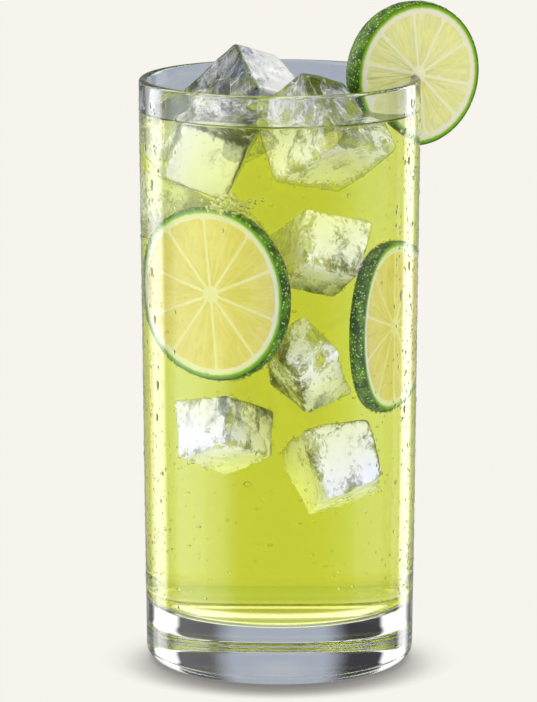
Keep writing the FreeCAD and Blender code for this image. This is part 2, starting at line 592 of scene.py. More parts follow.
@dataclass(frozen=True)
class IceFinish:
    """Melting ice: clear at its edges, frosted and cracked in the middle of its faces, with painted dark and
    silver reflections.
    """

    name: str = "wet_ice"
    index: float = 1.31
    painted_dark_reflection: Colour = (0.10, 0.11, 0.12)
    painted_silver_reflection: Colour = (0.47, 0.50, 0.56)
    white: Colour = (0.97, 0.98, 1.0)
    shard_mm: float = 6.5
    patch_mm: float = 4.0
    grain_mm: float = 0.8
    melt_mm: float = 3.0
    melt_height_mm: float = 0.16
    swirl_mm: float = 6.0
    swirl_push_mm: float = 5.0
    streaks: Colour = (1.25, 0.8, 0.65)
    thickest_veil: float = 0.94

    def material(self) -> bpy.types.Material:
        """Builds the finish, which reads how frosted each vertex is and the painted shading noted on it.

        Returns:
            The material.
        """
        made = Finish(self.name)
        place = made.object_place()
        warped = self.warped(made, place)
        patches = made.noise(warped, self.patch_mm * MM, 4.0)
        grain = made.noise(warped, self.grain_mm * MM, 3.0)
        shard = made.chances(made.cells(warped, self.shard_mm * MM))
        edges = made.cells(warped, self.shard_mm * MM, "DISTANCE_TO_EDGE").outputs["Distance"]
        cracks = made.maths("MULTIPLY", made.reach(edges, 0.035, 0.0), made.reach(patches, 0.42, 0.60))

        cloud = made.total(
            made.about(patches, 1.5),
            made.about(grain, 0.9),
            made.about(shard.outputs[1], 0.30),
            made.noted("frost"),
        )
        veil = made.maths("MULTIPLY", made.reach(cloud, 0.22, 0.78), self.thickest_veil)
        veil = made.maths("MAXIMUM", veil, made.maths("MULTIPLY", cracks, 0.7))
        painted_shading = made.total(
            made.noted("tone"),
            made.about(shard.outputs[0], 0.42),
            made.about(patches, 1.1),
            made.about(grain, 0.6),
            made.maths("MULTIPLY", cracks, 0.6),
        )
        # Painted shading: the colour runs from a painted dark reflection through a painted silver reflection
        # to the white of frost.
        colour = made.ramp(painted_shading, [(0.05, self.painted_dark_reflection), (0.42, self.painted_silver_reflection), (0.78, self.white)])

        shader = made.add("ShaderNodeBsdfPrincipled", Roughness=0.0, IOR=self.index)
        made.link(colour, shader.inputs["Base Color"])
        made.link(made.maths("SUBTRACT", 1.0, veil), shader.inputs["Transmission Weight"])
        melt = made.total(made.noise(place, self.melt_mm * MM), made.maths("MULTIPLY", grain, 0.25))
        made.surface(shader, melt, self.melt_height_mm)
        return made.material

    def warped(self, made: Finish, place: Socket) -> Socket:
        """Bends the places so that shards and patches run in streaks.

        Args:
            made: Where the nodes go.
            place: Object places.

        Returns:
            The bent places.
        """
        swirl = made.noise(place, self.swirl_mm * MM, output="Color")
        push = made.add("ShaderNodeVectorMath", operation="SCALE", Scale=self.swirl_push_mm * MM)
        bent = made.add("ShaderNodeVectorMath", operation="ADD")
        drawn = made.add("ShaderNodeVectorMath", operation="MULTIPLY")
        made.link(swirl, push.inputs[0])
        made.link(place, bent.inputs[0])
        made.link(push.outputs[0], bent.inputs[1])
        made.link(bent.outputs[0], drawn.inputs[0])
        drawn.inputs[1].default_value = self.streaks
        return drawn.outputs[0]


@dataclass(frozen=True)
class LimeFinish:
    """Cut lime: pored green zest, cream pith and membranes, juicy pale pulp."""

    name: str = "cut_lime"
    zest_dark: Colour = (0.020, 0.080, 0.002)
    zest_light: Colour = (0.105, 0.25, 0.006)
    pore: Colour = (0.60, 0.76, 0.20)
    rim_green: Colour = (0.20, 0.46, 0.022)
    rim_pale: Colour = (0.62, 0.76, 0.27)
    pith: Colour = (0.84, 0.82, 0.66)
    membrane: Colour = (0.87, 0.88, 0.60)
    pulp: Colour = (0.82, 0.83, 0.29)
    pulp_deep: Colour = (0.74, 0.79, 0.34)
    pulp_bright: Colour = (0.91, 0.91, 0.48)
    pore_mm: float = 0.85
    mottle_mm: float = 3.2
    ragged_mm: float = 0.9
    wobble_mm: float = 1.3
    sac_mm: float = 1.0 / 0.95
    blush_mm: float = 1.0 / 0.22
    relief_mm: float = 0.08

    def material(self) -> bpy.types.Material:
        """Builds the finish from the distances written on the wheel's vertices.

        Returns:
            The material.
        """
        made = Finish(self.name)
        place = made.object_place()
        depth = made.noted("peel_mm")
        juice, sacs = self.juice(made)
        wobble = made.about(made.noise(place, self.wobble_mm * MM), 0.5)
        inside = made.reach(made.total(made.noted("flesh_mm"), wobble), -0.12, 0.38)
        pale = made.mix(made.reach(depth, 3.0, 2.2), self.membrane, self.pith)
        face = self.rind_edge(made, place, depth, made.mix(inside, pale, juice))

        pores = made.cells(place, self.pore_mm * MM).outputs["Distance"]
        dots = made.reach(pores, 0.36, 0.20)
        mottle = made.reach(made.noise(place, self.mottle_mm * MM, 3.0), 0.38, 0.66)
        skin = made.mix(mottle, self.zest_dark, self.zest_light)
        skin = made.mix(made.maths("MULTIPLY", dots, 0.8), skin, self.pore)
        on_face = made.reach(depth, 0.04, 0.12)

        shader = made.add(
            "ShaderNodeBsdfPrincipled",
            Roughness=0.42,
            Coat_Weight=0.06,
            Coat_Roughness=0.12,
            Specular_IOR_Level=0.14,
        )
        made.link(made.mix(on_face, skin, face), shader.inputs["Base Color"])
        pulp_height = made.maths("MULTIPLY", made.reach(sacs, 0.0, 0.35), inside)
        on_peel = made.maths("SUBTRACT", 1.0, on_face)
        pits = made.maths("MULTIPLY", on_peel, made.maths("MULTIPLY", dots, -0.9))
        made.surface(shader, made.total(pulp_height, pits), self.relief_mm)
        return made.material

    def juice(self, made: Finish) -> tuple[Socket, Socket]:
        """Mixes the pulp's colour, in sacs that run out from the middle.

        Args:
            made: Where the nodes go.

        Returns:
            The colour, and how far a spot is from the edge of its sac.
        """
        grain = made.noted("grain_mm", "Vector")
        streak = made.add("ShaderNodeMapping", vector_type="POINT", Scale=(0.16, 1.0, 0.5))
        made.link(grain, streak.inputs["Vector"])
        sac = made.chances(made.cells(streak.outputs[0], self.sac_mm)).outputs[0]
        sacs = made.cells(streak.outputs[0], self.sac_mm, "DISTANCE_TO_EDGE").outputs["Distance"]
        blush = made.noise(grain, self.blush_mm, 3.0)
        colour = made.mix(made.reach(blush, 0.35, 0.68), self.pulp_deep, self.pulp)
        colour = made.mix(made.maths("MULTIPLY", made.reach(sac, 0.55, 1.0), 0.45), colour, self.pulp_bright)
        seam = made.maths("MULTIPLY", made.reach(sacs, 0.10, 0.0), 0.45)
        return made.mix(seam, colour, self.pulp_bright), sacs

    def rind_edge(self, made: Finish, place: Socket, depth: Socket, face: Socket) -> Socket:
        """Lays the cut edge of the peel, dark outside and pale inside, round a face.

        Args:
            made: Where the nodes go.
            place: Object places.
            depth: Millimetres in from the peel.
            face: Colour of the rest of the face.

        Returns:
            The colour of the whole face.
        """
        ragged = made.total(depth, made.about(made.noise(place, self.ragged_mm * MM), 0.5))
        ring = made.mix(made.reach(ragged, 0.15, 0.62), self.zest_light, self.rim_green)
        ring = made.mix(made.reach(ragged, 0.75, 1.25), ring, self.rim_pale)
        return made.mix(made.reach(ragged, 1.15, 1.7), ring, face)


ICE = IceFinish()
LIME = LimeFinish()
# A darker and yellower copy of the lime finish, for the wheels in the tea.
DARKER_LIME_IN_TEA = LimeFinish(
    "soaked_lime",
    pith=(0.81, 0.79, 0.60),
    membrane=(0.82, 0.79, 0.46),
    pulp=(0.77, 0.68, 0.185),
    pulp_deep=(0.73, 0.645, 0.150),
    pulp_bright=(0.80, 0.745, 0.30),
)


# ---------------------------------------------------------------- tumbler and tea


@dataclass
class Tumbler:
    """The heavy-based glass: sizes in millimetres, measured from its foot."""

    steps: int = 192
    floor_wall: float = 2.9
    rim_wall: float = 2.2
    base: float = 15.6
    heel: float = 4.0
    corner: float = 5.0
    foot_ring: float = 5.0
    punt: float = 1.6
    heel_diameter: float = 73.8
    height: float = field(init=False)
    rim_radius: float = field(init=False)

    def __post_init__(self) -> None:
        """Takes the height, and the width to a tenth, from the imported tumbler."""
        low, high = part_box("tumbler")
        self.height = (high.z - low.z) / MM
        self.rim_radius = round((high.y - low.y) / 2.0 / MM, 1)

    def outer(self, z: float) -> float:
        """Outside radius at a height."""
        low = self.heel_diameter / 2.0
        return low + (self.rim_radius - low) * (z - self.heel) / (self.height - self.heel)

    def inner(self, z: float) -> float:
        """Inside radius at a height, on the straight wall between corner and lip.

        Args:
            z: The height in millimetres.

        Returns:
            The radius in millimetres.
        """
        lip = self.height - self.rim_wall / 2.0
        top = self.outer(lip) - self.rim_wall
        corner = self.base + self.corner
        share = (corner - self.base) / (self.height - self.base)
        low = self.outer(corner) - (self.floor_wall + (self.rim_wall - self.floor_wall) * share)
        return low + (top - low) * (z - corner) / (lip - corner)

    def outline(self) -> Profile:
        """The closed half section, from the bottom of the axis round to the inner floor.

        Returns:
            Its points in millimetres.
        """
        foot_out = self.heel_diameter / 2.0 - self.heel
        foot_in = foot_out - self.foot_ring
        lip = self.rim_wall / 2.0
        lip_z = self.height - lip
        rim = self.outer(lip_z)
        corner_z = self.base + self.corner
        corner_r = self.inner(corner_z)
        spots: Profile = []
        for i in range(11):
            radius = foot_in * i / 10.0
            spots.append((radius, self.punt * (1.0 - (radius / foot_in) ** 2)))
        spots += run((foot_in, 0.0), (foot_out, 0.0), 4)
        spots += arc((foot_out, self.heel), self.heel, -90.0, 0.0, 14)
        spots += run((self.heel_diameter / 2.0, self.heel), (rim, lip_z), 30)
        spots += arc((rim - lip, lip_z), lip, 0.0, 180.0, 20)
        spots += run((rim - 2.0 * lip, lip_z), (corner_r, corner_z), 30)
        spots += arc((corner_r - self.corner, corner_z), self.corner, 0.0, -90.0, 16)
        start = corner_r - self.corner
        spots += run((start, self.base), (0.0, self.base), 8)
        spots.append((0.0, self.base))
        return spots

    def build(self) -> bpy.types.Object:
        """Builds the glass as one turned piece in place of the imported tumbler.

        Returns:
            The piece.
        """
        points, faces = turned(self.outline(), self.steps)
        piece = mesh_object("tumbler_glass", points, faces)
        fit_out(piece, GLASS.material(), Slot.GLASS)
        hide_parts("tumbler")
        return piece


@dataclass
class Tea:
    """The drink: it reaches just into the wall, and holds the pockets of what is in it."""

    tumbler: Tumbler
    into_wall: float = 0.2
    meniscus_width: float = 1.6
    meniscus_rise: float = 0.8
    steps: int = 192
    level: float = field(init=False)

    def __post_init__(self) -> None:
        """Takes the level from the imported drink."""
        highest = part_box("drink")[1]
        self.level = highest.z / MM - self.meniscus_rise

    def outline(self) -> Profile:
        """The half section, from the bottom of the axis to the middle of the surface.

        Returns:
            Its points in millimetres.
        """
        glass = self.tumbler
        over = self.into_wall
        corner_z = glass.base + glass.corner
        corner_r = glass.inner(corner_z)
        contact = glass.inner(self.level + self.meniscus_rise)
        edge = contact - self.meniscus_width
        spots: Profile = [(0.0, glass.base - over)]
        start = corner_r - glass.corner
        spots += run((0.0, glass.base - over), (start, glass.base - over), 8)
        spots += arc((start, corner_z), glass.corner + over, -90.0, 0.0, 16)
        top = (contact + over, self.level + self.meniscus_rise)
        spots += run((corner_r + over, corner_z), top, 30)
        spots.append(top)
        reach = self.meniscus_width + over
        for i in range(1, 11):
            share = 1.0 - i / 10.0
            spots.append((edge + reach * share, self.level + self.meniscus_rise * share**2))
        spots += run((edge, self.level), (0.0, self.level), 6)
        spots.append((0.0, self.level))
        return spots

    def build(self, pockets: list[bpy.types.Object]) -> bpy.types.Object:
        """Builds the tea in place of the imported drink.

        Args:
            pockets: Closed skins of what displaces it, which are used up.

        Returns:
            The piece.
        """
        points, faces = turned(self.outline(), self.steps)
        piece = mesh_object("tea", points, faces)
        cut_out(piece, pockets)
        sharpen(piece, 40.0)
        fit_out(piece, TEA.material(), Slot.DRINK)
        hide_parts("drink")
        return piece


# ---------------------------------------------------------------- ice


@dataclass
class IceBlock:
    """One tray cube: drafted, melted round at its edges and uneven all over."""

    name: str
    edges: Triple
    draft: float
    centre: Triple
    turn: Triple
    frost: tuple[float, ...] = (0.70, 0.55, 0.60, 0.40, 0.35, 0.35)
    # Painted tone of each face: how light or dark that face is painted, from dark reflection to white.
    tone: tuple[float, ...] = (0.65, 0.35, 0.60, 0.80, 0.45, 0.60)
    edge_radius: float = 1.5
    dimple: float = 1.1
    wobble: float = 0.32
    swells_per_mm: float = 0.09
    ripples_per_mm: float = 0.33
    clear_edge: float = 0.45
    edge_loss: float = 0.34
    painted_tone_slope: float = 0.26
    cells: int = 30

    def stand(self) -> np.ndarray:
        """The block's turn as a matrix.

        Returns:
            A matrix whose columns are the block's own axes.
        """
        yaw, pitch, roll = (math.radians(a) for a in self.turn)
        turn = Matrix.Rotation(yaw, 3, "Z") @ Matrix.Rotation(pitch, 3, "Y") @ Matrix.Rotation(roll, 3, "X")
        return np.array(turn)

    def cast(self, raw: np.ndarray) -> tuple[np.ndarray, np.ndarray]:
        """Shapes an even cube into the block: round edges, a draft and a dimpled top.

        Args:
            raw: Spots on a cube from -1 to 1.

        Returns:
            The shaped spots in the block's own frame, and the way out at each, zero on flats.
        """
        width, depth, height = self.edges
        spread = height * math.tan(math.radians(self.draft))
        half = np.array([width / 2.0 + spread / 2.0, depth / 2.0 + spread / 2.0, height / 2.0])
        spots = raw * half
        core = half - self.edge_radius
        held = np.clip(spots, -core, core)
        away = spots - held
        length = np.linalg.norm(away, axis=1)
        outer = length > 1e-9
        normal = np.zeros_like(spots)
        normal[outer] = away[outer] / length[outer, None]
        spots = held + normal * self.edge_radius
        lean = 1.0 + (spots[:, 2:3] / half[2]) * (spread / 2.0) / half[None, :2]
        spots[:, :2] *= lean
        reach = min(width, depth) * 0.45
        radial = np.hypot(spots[:, 0], spots[:, 1])
        hollow = np.clip(1.0 - (radial / reach) ** 2, 0.0, 1.0) * self.dimple
        spots[:, 2] -= np.where(raw[:, 2] > 0.999, hollow, 0.0)
        return spots, normal

    def skin(self, grow: float = 0.0) -> tuple[np.ndarray, Faces]:
        """The block's closed skin in place, uneven all over.

        Args:
            grow: How far the skin is moved outwards, in millimetres.

        Returns:
            Vertex places in metres and the faces.
        """
        grid = bmesh.new()
        bmesh.ops.create_cube(grid, size=2.0)
        bmesh.ops.subdivide_edges(grid, edges=grid.edges[:], cuts=self.cells, use_grid_fill=True)
        raw, faces = taken(grid)
        seed = Vector((sum(ord(c) for c in self.name) * 7.3, self.centre[0], self.centre[1]))
        moved = []
        for spot, direction in zip(*self.cast(raw)):
            swell = noise.noise(Vector(spot) * self.swells_per_mm + seed) * self.wobble * 1.6
            ripple = noise.noise(Vector(spot) * self.ripples_per_mm + seed) * self.wobble * 0.5
            moved.append(spot + direction * (swell + ripple + grow))
        placed = np.array(moved) @ self.stand().T + np.array(self.centre)
        return placed * MM, faces

    def build(self) -> bpy.types.Object:
        """Makes the block as an object of its own, with its frost and its painted shading noted face by
        face.

        Returns:
            The object. The first shares of frost and painted tone are those of its nearest faces.
        """
        points, faces = self.skin()
        piece = mesh_object(self.name, points, faces)
        turn = self.stand()
        local = (points / MM - np.array(self.centre)) @ turn
        share = local / (np.array(self.edges) / 2.0)
        sides = [(axis, side) for axis in range(3) for side in (-1.0, 1.0)]
        sides.sort(key=lambda face: turn[1, face[0]] * face[1])
        nearness = np.stack([share[:, axis] * side for axis, side in sides], 1)
        weight = np.clip((nearness - nearness.max(1, keepdims=True)) * 14.0 + 1.0, 0.0, 1.0)
        weight /= weight.sum(1, keepdims=True)
        ranked = np.sort(nearness, 1)
        middle = np.clip((ranked[:, -1] - ranked[:, -2]) / self.clear_edge, 0.0, 1.0)
        # Painted shading: one corner of the block is painted lighter than the opposite one.
        slope = self.painted_tone_slope * share.sum(1)
        note_points(piece, "frost", weight @ np.array(self.frost) - self.edge_loss * (1.0 - middle))
        note_points(piece, "tone", weight @ np.array(self.tone) + slope)
        return piece

    def pocket(self, gap: float) -> bpy.types.Object:
        """Makes the hollow that the block takes up in the tea.

        Args:
            gap: Room all round in millimetres, below zero where the tea reaches just into the ice.

        Returns:
            A closed skin for cutting.
        """
        return mesh_object(self.name + "_pocket", *self.skin(gap))


def shades(*faces: tuple[float, float]) -> dict[str, tuple[float, ...]]:
    """Sets the frost and the painted shading of a block face by face.

    Args:
        faces: Frost and painted tone of its three nearest faces, the nearest one first.

    Returns:
        The values of the block's fields, with plain ones for the far faces.
    """
    return {
        "frost": (*(frost for frost, _ in faces), 0.40, 0.35, 0.35),
        "tone": (*(tone for _, tone in faces), 0.70, 0.45, 0.60),
    }


# The second number of each face is its painted tone: how much lighter or darker that face is painted, in
# place of light and shade.
FLOATING = (
    IceBlock(
        "ice_peak", (22.4, 16.0, 20.1), 13.0, (-11.0, 15.9, 153.5), (147.4, 39.9, 201.0),
        **shades((0.50, 0.52), (0.70, 0.90), (1.10, 1.15)),
    ),
    IceBlock(
        "ice_right", (18.0, 20.0, 22.6), 6.0, (9.4, -11.3, 149.5), (334.1, 144.0, 17.5),
        **shades((0.60, 0.85), (0.90, 0.62), (0.50, 0.62)),
    ),
    IceBlock(
        "ice_left", (17.2, 17.7, 17.8), 6.0, (-17.2, -7.9, 143.8), (140.3, 65.1, 54.5),
        **shades((1.08, 1.12), (0.55, 0.75), (0.70, 0.45)),
    ),
)

SUNK = (
    IceBlock(
        "sunk_upper", (15.5, 17.0, 16.0), 5.0, (9.4, -14.8, 116.6), (201.7, 343.2, 31.0),
        **shades((0.78, 0.52), (0.92, 1.00), (0.62, 0.95)), wobble=0.5,
    ),
    IceBlock(
        "sunk_middle", (19.0, 14.0, 13.0), 5.0, (6.2, -18.2, 86.0), (262.6, 317.1, 312.3),
        **shades((0.56, 0.80), (0.80, 0.50), (0.56, 0.75)), wobble=0.5,
    ),
    IceBlock(
        "sunk_left", (14.0, 17.1, 17.5), 5.0, (-13.2, -16.9, 67.6), (267.2, 62.5, 133.0),
        **shades((0.76, 0.92), (0.92, 0.52), (0.85, 1.05)), wobble=0.5,
    ),
    IceBlock(
        "sunk_right", (17.5, 19.5, 17.5), 5.0, (13.7, -13.8, 58.0), (139.0, 115.8, 298.5),
        **shades((0.95, 1.05), (0.92, 1.00), (0.92, 1.00)), wobble=0.6,
    ),
    IceBlock(
        "sunk_back_left", (14.0, 13.0, 15.0), 5.0, (-20.5, 9.5, 124.0), (40.0, 30.0, 15.0),
        **shades((0.75, 1.10), (0.70, 1.05), (0.70, 1.05)),
    ),
    IceBlock(
        "sunk_back_middle", (10.5, 10.5, 10.5), 5.0, (-9.2, -2.6, 121.6), (75.0, 25.0, 50.0),
        **shades((0.75, 1.10), (0.66, 1.05), (0.66, 1.05)),
    ),
)


@dataclass
class Ice:
    """All the ice: the blocks that float and those held under the surface."""

    floating: tuple[IceBlock, ...] = FLOATING
    sunk: tuple[IceBlock, ...] = SUNK
    overlap: float = 0.05

    def build(self) -> list[bpy.types.Object]:
        """Builds the floating blocks one by one and the sunk ones as one piece.

        Returns:
            The pieces.
        """
        finish = ICE.material()
        pieces = []
        for block in self.floating:
            piece = block.build()
            piece.name = block.name + "_melting"
            fit_out(piece, finish, Slot.ICE)
            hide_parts(block.name)
            pieces.append(piece)
        under = joined("sunk_ice", [block.build() for block in self.sunk])
        fit_out(under, finish, Slot.ICE)
        pieces.append(under)
        return pieces

    def pockets(self) -> list[bpy.types.Object]:
        """The hollows that the ice takes up in the tea."""
        return [block.pocket(-self.overlap) for block in (*self.floating, *self.sunk)]


# ---------------------------------------------------------------- lime


@dataclass
class LimeWheel:
    """A wheel cut across a lime, standing on edge: sizes in millimetres."""

    name: str
    centre: Triple
    facing: float
    radius: float = 19.6
    thickness: float = 7.0
    roll: float = 0.0
    taper: float = 0.5
    bulge: float = 0.6
    zest: float = 1.2
    pith: float = 1.0
    membrane: float = 0.5
    core: float = 1.9
    core_edge: float = 0.25
    recess: float = 0.15
    recess_slope: float = 0.45
    corner: float = 1.3
    segments: int = 10
    unevenness: float = 2.5
    swelling: float = 0.16
    peel_wobble: float = 0.006
    face_inset: float = 0.12
    rings: int = 55
    steps: int = 360

    def membranes(self) -> list[float]:
        """Directions of the membranes in degrees, as uneven as a real fruit's."""
        step = 360.0 / self.segments
        return [self.roll + step * i + self.unevenness * math.sin(2.4 * i) for i in range(self.segments)]

    def edge(self, z: np.ndarray) -> np.ndarray:
        """Radius of the peel at a height across the wheel's thickness.

        Args:
            z: Heights from the middle of the thickness, in millimetres.

        Returns:
            The radii in millimetres.
        """
        half = self.thickness / 2.0
        straight = self.radius - self.taper * (half - z) / self.thickness
        return straight + self.bulge * (1.0 - (z / half) ** 2)

    def flesh(self, spots: np.ndarray) -> np.ndarray:
        """How deep each spot lies inside the pulp of its segment.

        Args:
            spots: Places in the wheel's own frame, its axis along Z.

        Returns:
            Depths in millimetres, below zero on pith, membranes and core.
        """
        radial = np.hypot(spots[:, 0], spots[:, 1])
        turn = np.degrees(np.arctan2(spots[:, 1], spots[:, 0]))
        gap = np.full(len(spots), 180.0)
        for direction in self.membranes():
            gap = np.minimum(gap, np.abs((turn - direction + 180.0) % 360.0 - 180.0))
        side = radial * np.sin(np.radians(np.minimum(gap, 90.0))) - self.membrane / 2.0
        rind = self.radius - self.taper - self.zest - self.pith - radial
        middle = (radial - self.core - self.core_edge) * 0.8
        low = np.minimum(np.minimum(side, rind), middle)
        near_side = np.clip(self.corner - side, 0.0, None)
        near_rind = np.clip(self.corner - rind, 0.0, None)
        rounded = self.corner - np.hypot(near_side, near_rind)
        both = (near_side > 0.0) & (near_rind > 0.0)
        return np.where(both, np.minimum(low, rounded), low)

    def frame(self) -> tuple[np.ndarray, np.ndarray]:
        """The wheel's own axes as columns, and its centre.

        Returns:
            The axes and the centre, the last in millimetres.
        """
        turn = math.radians(self.facing)
        across = (math.cos(turn), math.sin(turn), 0.0)
        normal = (math.sin(turn), -math.cos(turn), 0.0)
        return np.array([across, (0.0, 0.0, 1.0), normal]).T, np.array(self.centre)

    def outline(self) -> Profile:
        """The half section, from the middle of one face round the peel to the other.

        Returns:
            Its points in millimetres.
        """
        half = self.thickness / 2.0
        rings = np.linspace(0.0, 1.0, self.rings + 1)[1:] * (self.radius - self.taper - self.face_inset)
        profile: Profile = [(0.0, -half)]
        profile += [(float(r), -half) for r in rings]
        profile += [(float(self.edge(z)), float(z)) for z in np.linspace(-half, half, 17)]
        profile += [(float(r), half) for r in rings[::-1] + self.taper]
        profile.append((0.0, half))
        return profile

    def build(self, slots: Iterable[bpy.types.Object] = ()) -> bpy.types.Object:
        """Makes the wheel in place, its pulp sunk and swollen between the membranes.

        Args:
            slots: Closed skins that are cut out of it and used up.

        Returns:
            The wheel, marked for its finish.
        """
        points, faces = turned(self.outline(), self.steps)
        spots = points / MM
        depth = self.flesh(spots)
        on_face = np.abs(np.abs(spots[:, 2]) - self.thickness / 2.0) < 1e-6
        sunk = np.clip(depth / self.recess_slope, 0.0, 1.0) * self.recess
        seed = Vector((self.centre[0], self.centre[2], 3.0))
        swell = np.zeros(len(spots))
        for i in np.nonzero(on_face & (depth > 0.0))[0]:
            x, y = spots[i, 0], spots[i, 1]
            radial, turn = math.hypot(x, y), math.atan2(y, x)
            swell[i] = noise.noise(Vector((radial * 0.18, turn * 9.0, spots[i, 2])) + seed) * self.swelling
        sunk -= swell * np.clip(depth, 0.0, 1.0)
        spots[:, 2] -= np.where(on_face, np.sign(spots[:, 2]) * sunk, 0.0)
        for i in np.nonzero(~on_face)[0]:
            spots[i, :2] *= 1.0 + noise.noise(Vector(spots[i]) * 0.8 + seed) * self.peel_wobble
        axes, centre = self.frame()
        piece = mesh_object(self.name, (spots @ axes.T + centre) * MM, faces)
        cut_out(piece, slots)
        sharpen(piece, 50.0)
        self.mark(piece)
        return piece

    def mark(self, piece: bpy.types.Object) -> None:
        """Notes on every vertex how far it is from the peel and how deep in the pulp.

        Args:
            piece: The finished form of the wheel.
        """
        axes, centre = self.frame()
        spots = (places(piece) - centre) @ axes
        radial = np.hypot(spots[:, 0], spots[:, 1])
        turn = np.arctan2(spots[:, 1], spots[:, 0])
        half = self.thickness / 2.0
        inward = self.edge(np.clip(spots[:, 2], -half, half)) - radial
        grain = np.stack([radial, turn * self.radius * 0.55, spots[:, 2] + self.centre[2]], 1)
        note_points(piece, "peel_mm", np.clip(inward - 1.5 * self.face_inset, 0.0, None))
        note_points(piece, "flesh_mm", self.flesh(spots))
        note_points(piece, "grain_mm", grain)


@dataclass
class Garnish:
    """The wheel on the rim, slit from its middle down so that the glass wall stands in it."""

    tumbler: Tumbler
    rim_angle: float = 14.0
    facing: float = 31.0
    roll: float = -83.0
    clearance: float = 0.2
    overshoot: float = 4.0
    drop: float = 0.1

    def slot(self, wheel: LimeWheel) -> bpy.types.Object:
        """The ring-shaped cutter of the slit, a clearance round the wall.

        Args:
            wheel: The wheel that is slit.

        Returns:
            A closed skin for cutting.
        """
        glass = self.tumbler
        lip = glass.rim_wall / 2.0
        reach = lip + self.clearance
        lip_z = glass.height - reach
        middle = glass.outer(lip_z) - lip
        bottom = glass.height - 2.0 * wheel.radius - self.overshoot
        inner = (glass.inner(bottom) - self.clearance, bottom)
        outer = (glass.outer(bottom) + self.clearance, bottom)
        profile: Profile = [inner, outer]
        profile += arc((middle, lip_z), reach, 0.0, 180.0, 24)
        profile.append(inner)
        return mesh_object("slot", *turned(profile, 240))

    def build(self) -> bpy.types.Object:
        """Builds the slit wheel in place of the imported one.

        Returns:
            The piece.
        """
        glass = self.tumbler
        turn = math.radians(self.rim_angle)
        middle = glass.rim_radius - glass.rim_wall / 2.0
        centre = (middle * math.cos(turn), middle * math.sin(turn), glass.height - self.drop)
        wheel = LimeWheel("lime_on_rim", centre, self.facing, roll=self.roll)
        piece = wheel.build([self.slot(wheel)])
        fit_out(piece, LIME.material(), Slot.LIME)
        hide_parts("lime_wheel")
        return piece


SUNK_WHEELS = (
    LimeWheel("sunk_lime_left", (-15.4, -17.6, 106.0), -42.0, radius=23.4, thickness=3.8, roll=-14.0),
    LimeWheel("sunk_lime_right", (23.7, -4.2, 94.6), 80.0, radius=23.2, thickness=4.4, roll=20.0),
)


@dataclass
class SunkLimes:
    """The two wheels that stand against the wall inside the tea."""

    wheels: tuple[LimeWheel, ...] = SUNK_WHEELS

    def build(self) -> bpy.types.Object:
        """Builds the wheels as one piece."""
        whole = joined("sunk_limes", [wheel.build() for wheel in self.wheels])
        return fit_out(whole, DARKER_LIME_IN_TEA.material(), Slot.LIME)


# ---------------------------------------------------------------- drops and bubbles


@dataclass(frozen=True)
class DropForm:
    """How finely a drop of some size is made, as shares of its radius."""

    above_mm: float
    sides: int
    rings: tuple[tuple[float, float], ...]


